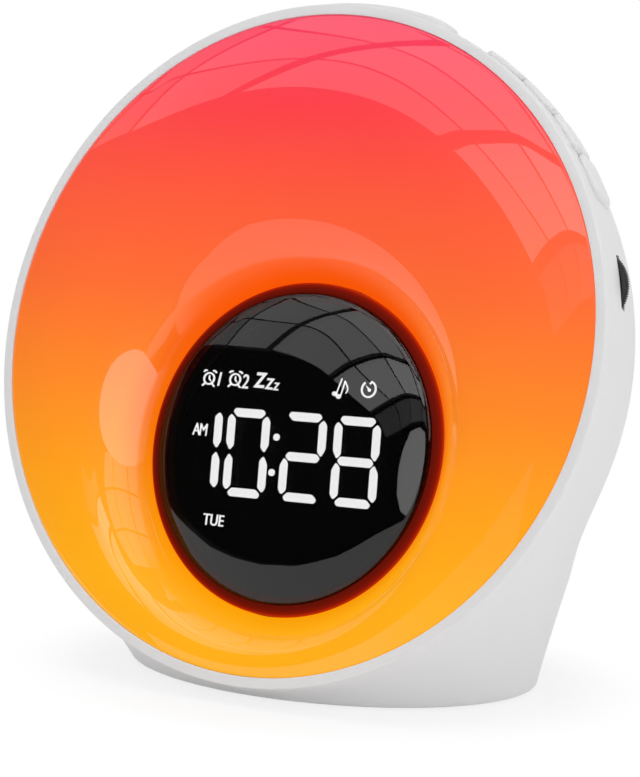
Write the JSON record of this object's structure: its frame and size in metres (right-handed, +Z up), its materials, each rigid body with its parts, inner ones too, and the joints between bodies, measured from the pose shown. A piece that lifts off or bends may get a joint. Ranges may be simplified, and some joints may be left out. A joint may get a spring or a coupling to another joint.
{
  "type": "sunrise alarm clock",
  "caption": "Round sunrise alarm clock: tilted glowing lens with a domed display on a deep foot, with a bar and side buttons to press and a volume wheel to turn.",
  "frame": {"origin": "on the table, in the middle of the box round the clock at rest", "axes": "+Z up; the glowing face and display look towards -Y, leaning back; +X is the side with the buttons and the volume wheel"},
  "size_m": [0.184, 0.0892, 0.1821],
  "materials": {
    "housing_plastic": "satin white moulded shell, with bar, buttons, cover and base",
    "lens_plastic": "glossy light-diffusing shell that glows pink at the top and amber at the bottom",
    "ring_plastic": "glossy dark red ring",
    "window_plastic": "glossy smoked black dome",
    "digit_plastic": "white lit segments",
    "black_plastic": "matte black moulded parts",
    "reflector_plastic": "matte white reflector",
    "circuit_board": "green board with solder mask",
    "lamp_board_coating": "white solder mask",
    "lamp_body": "lamp packages with yellow phosphor",
    "screw_steel": "zinc-plated screws",
    "chip_plastic": "black chip packages",
    "capacitor_sleeve": "dark blue sleeves",
    "plug_plastic": "ivory connectors",
    "ribbon_film": "flat cable",
    "wheel_plastic": "finely knurled black wheel",
    "control_metal": "metal case and shaft",
    "speaker_metal": "black pressed basket",
    "cone_paper": "black paper cone",
    "magnet_metal": "bare grey ferrite magnet",
    "foot_rubber": "soft dark grey pads",
    "cell_metal": "steel coin cell",
    "contact_metal": "sprung contact"
  },
  "bodies": {
    "housing": {"housing_shell": "housing_plastic", "diffuser_lens": "lens_plastic", "display_ring": "ring_plastic", "display_window": "window_plastic", "display_panel": "black_plastic", "display_segments": "digit_plastic", "display_board": "circuit_board", "display_shroud": "black_plastic", "reflector_tray": "reflector_plastic", "lamp_board": "lamp_board_coating", "lamp_leds": "lamp_body", "tray_screws": "screw_steel", "shroud_screws": "screw_steel", "main_board": "circuit_board", "controller_chip": "chip_plastic", "sound_chip": "chip_plastic", "capacitors": "capacitor_sleeve", "board_plugs": "plug_plastic", "board_screws": "screw_steel", "display_ribbon": "ribbon_film", "bar_switches": "black_plastic", "bar_switch_board": "circuit_board", "side_switches": "black_plastic", "side_switch_board": "circuit_board", "switch_board_screws": "screw_steel", "volume_control": "control_metal", "volume_board": "circuit_board", "volume_board_screw": "screw_steel", "rear_cover": "housing_plastic", "rear_screws": "screw_steel", "speaker_frame": "speaker_metal", "speaker_cone": "cone_paper", "speaker_magnet": "magnet_metal", "power_socket": "black_plastic", "base_plate": "housing_plastic", "base_screws": "screw_steel", "rubber_feet": "foot_rubber", "backup_cell": "cell_metal", "battery_spring": "contact_metal"},
    "snooze": {"snooze_bar": "housing_plastic", "bar_plungers": "black_plastic"},
    "key_1": {"side_button_1": "housing_plastic", "side_plunger_1": "black_plastic"},
    "key_2": {"side_button_2": "housing_plastic", "side_plunger_2": "black_plastic"},
    "key_3": {"side_button_3": "housing_plastic", "side_plunger_3": "black_plastic"},
    "key_4": {"side_button_4": "housing_plastic", "side_plunger_4": "black_plastic"},
    "wheel": {"volume_wheel": "wheel_plastic"},
    "door": {"battery_door": "housing_plastic"}
  },
  "joints": [
    {"name": "snooze_press", "type": "slide", "parent": "housing", "child": "snooze", "axis": [0, -0.284, -0.9588], "range_m": [0, 0.001], "stiffness_N_per_m": 900},
    {"name": "key_1_press", "type": "slide", "parent": "housing", "child": "key_1", "axis": [-0.7096, -0.2001, -0.6756], "range_m": [0, 0.0008], "stiffness_N_per_m": 700},
    {"name": "key_2_press", "type": "slide", "parent": "housing", "child": "key_2", "axis": [-0.7096, -0.2001, -0.6756], "range_m": [0, 0.0008], "stiffness_N_per_m": 700},
    {"name": "key_3_press", "type": "slide", "parent": "housing", "child": "key_3", "axis": [-0.7096, -0.2001, -0.6756], "range_m": [0, 0.0008], "stiffness_N_per_m": 700},
    {"name": "key_4_press", "type": "slide", "parent": "housing", "child": "key_4", "axis": [-0.7096, -0.2001, -0.6756], "range_m": [0, 0.0008], "stiffness_N_per_m": 700},
    {"name": "volume_turn", "type": "hinge", "parent": "housing", "child": "wheel", "pos_m": [0.07994, -0.00016, 0.10977], "axis": [0, -0.9588, 0.284], "range_deg": [-135, 135]},
    {"name": "door_turn", "type": "hinge", "parent": "housing", "child": "door", "pos_m": [0, 0.01086, 0.0008], "axis": [0, 0, 1], "range_deg": [0, 60]}
  ]
}
